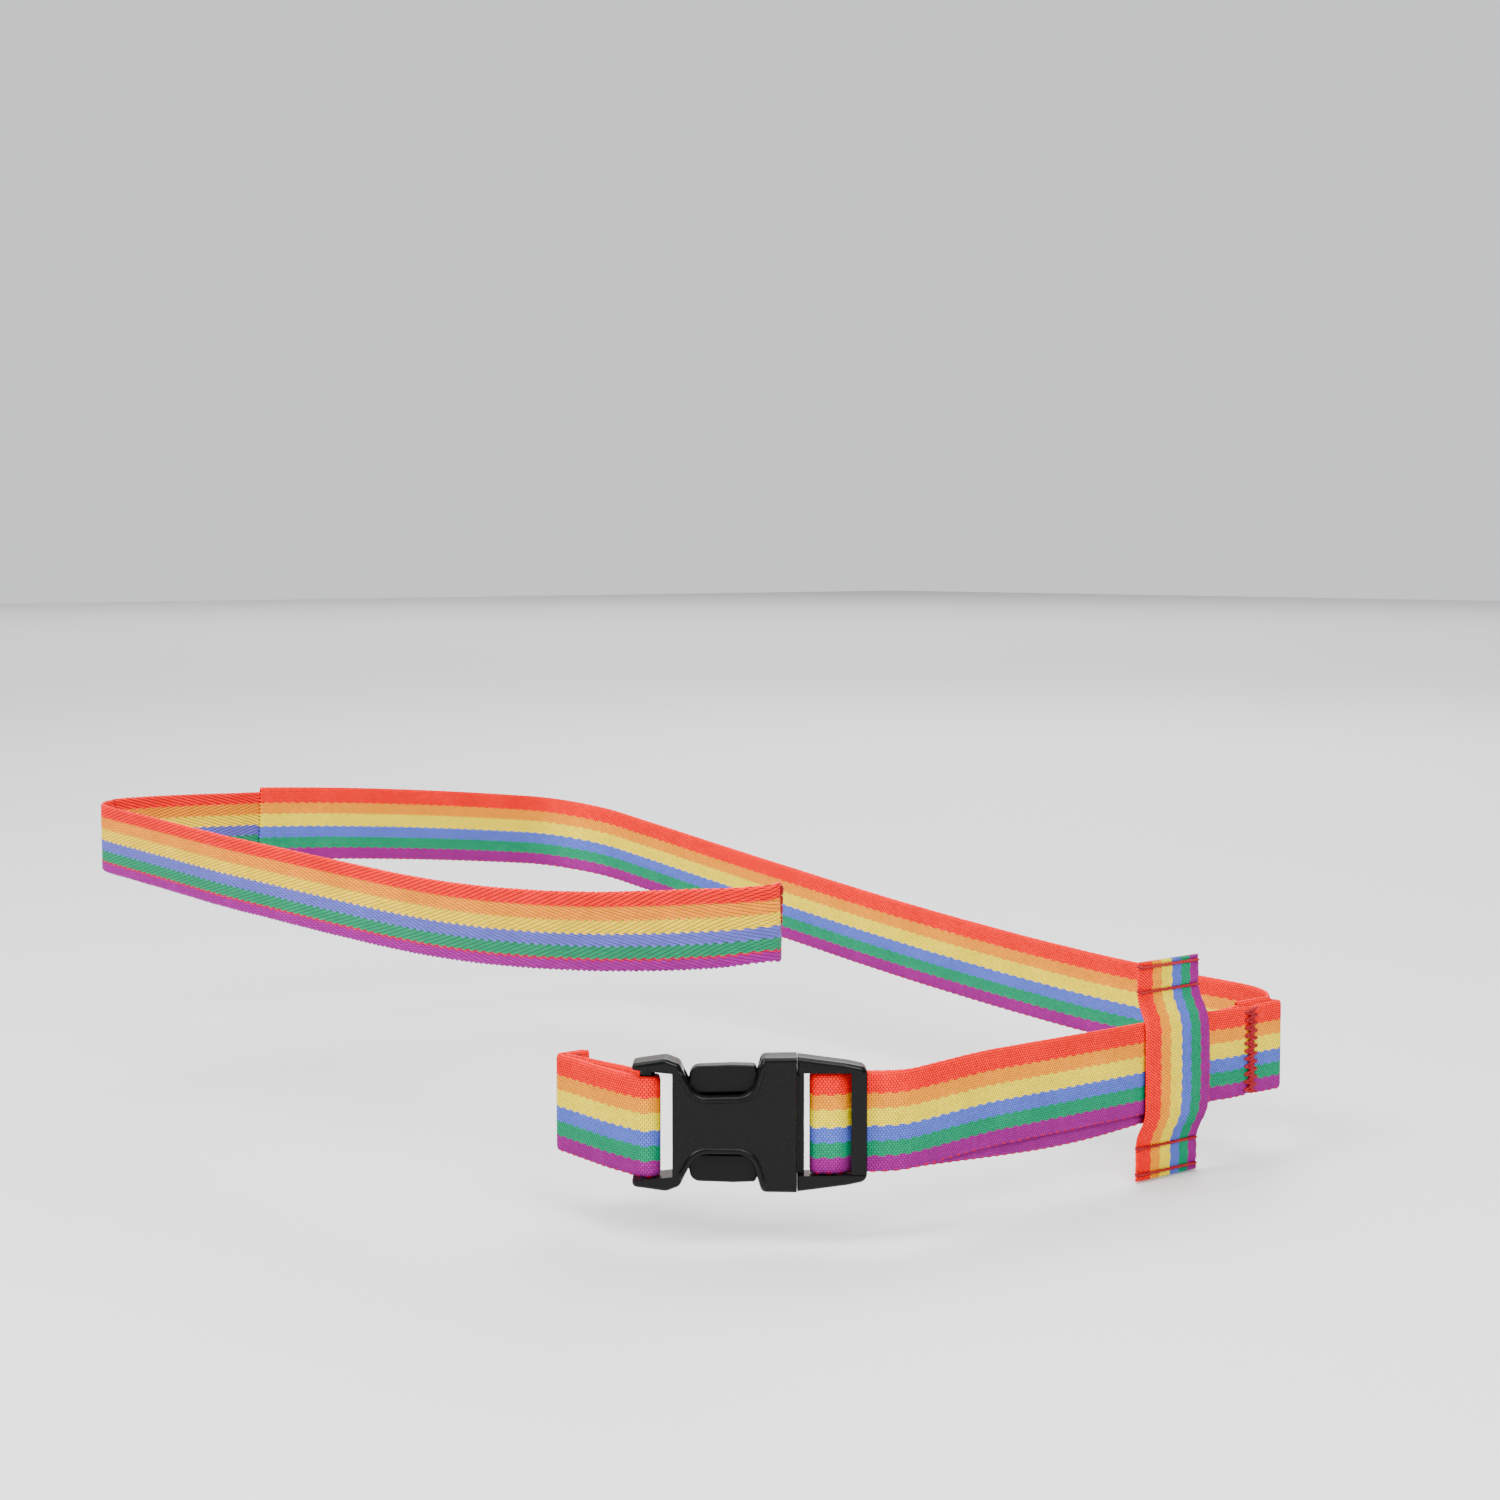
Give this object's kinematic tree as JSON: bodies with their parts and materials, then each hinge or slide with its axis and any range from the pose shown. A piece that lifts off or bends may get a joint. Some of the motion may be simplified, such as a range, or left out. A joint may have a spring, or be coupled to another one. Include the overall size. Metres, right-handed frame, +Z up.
{
  "type": "luggage strap",
  "caption": "Striped luggage strap: a twill band and a webbing belt round a case, with a side-release buckle at the corner, a length adjuster and a sewn keeper for the spare tail.",
  "frame": {"origin": "middle of the case that the strap goes round, at the height of the side webbing", "axes": "+X along the case's front face to its right, +Y to the case's back, +Z up"},
  "size_m": [0.3434, 0.2173, 0.0917],
  "materials": {
    "band_weave": "herringbone polyester with six lengthwise colours, satin yarn",
    "belt_weave": "flat-woven polypropylene with six lengthwise colours, satin yarn",
    "sewing_thread": "bonded polyester thread, twisted",
    "buckle_plastic": "moulded black acetal, finely grained with smooth edges",
    "arm_plastic": "moulded black acetal, coarser grain on the buttons"
  },
  "bodies": {
    "strap": {"front_band": "band_weave", "band_end_stitching": "sewing_thread", "main_webbing": "belt_weave", "lap_stitching": "sewing_thread", "standing_webbing": "belt_weave", "tail_webbing": "belt_weave", "tail_end": "belt_weave", "tail_hem_stitching": "sewing_thread", "keeper": "belt_weave", "keeper_stitch_top_outer": "sewing_thread", "keeper_stitch_top_inner": "sewing_thread", "keeper_stitch_low_inner": "sewing_thread", "keeper_stitch_low_outer": "sewing_thread", "anchor_webbing": "belt_weave", "anchor_end_stitching": "sewing_thread", "socket": "buckle_plastic"},
    "plug": {"plug_frame": "buckle_plastic", "adjuster_loop": "belt_weave"},
    "upper_arm": {"upper_arm": "arm_plastic"},
    "lower_arm": {"lower_arm": "arm_plastic"}
  },
  "joints": [
    {"name": "plug_release", "type": "slide", "parent": "strap", "child": "plug", "axis": [0.6639, 0.7478, 0], "range_m": [0, 0.03], "deforming": ["standing_webbing", "tail_webbing", "upper_arm", "lower_arm"]},
    {"name": "upper_arm_squeeze", "type": "hinge", "parent": "plug", "child": "upper_arm", "pos_m": [0.14618, -0.07712, 0.0091], "axis": [0.7478, -0.6639, 0], "range_deg": [0, 8], "stiffness_Nm_per_rad": 0.4},
    {"name": "lower_arm_squeeze", "type": "hinge", "parent": "plug", "child": "lower_arm", "pos_m": [0.14618, -0.07712, -0.0121], "axis": [-0.7478, 0.6639, 0], "range_deg": [0, 8], "stiffness_Nm_per_rad": 0.4}
  ]
}
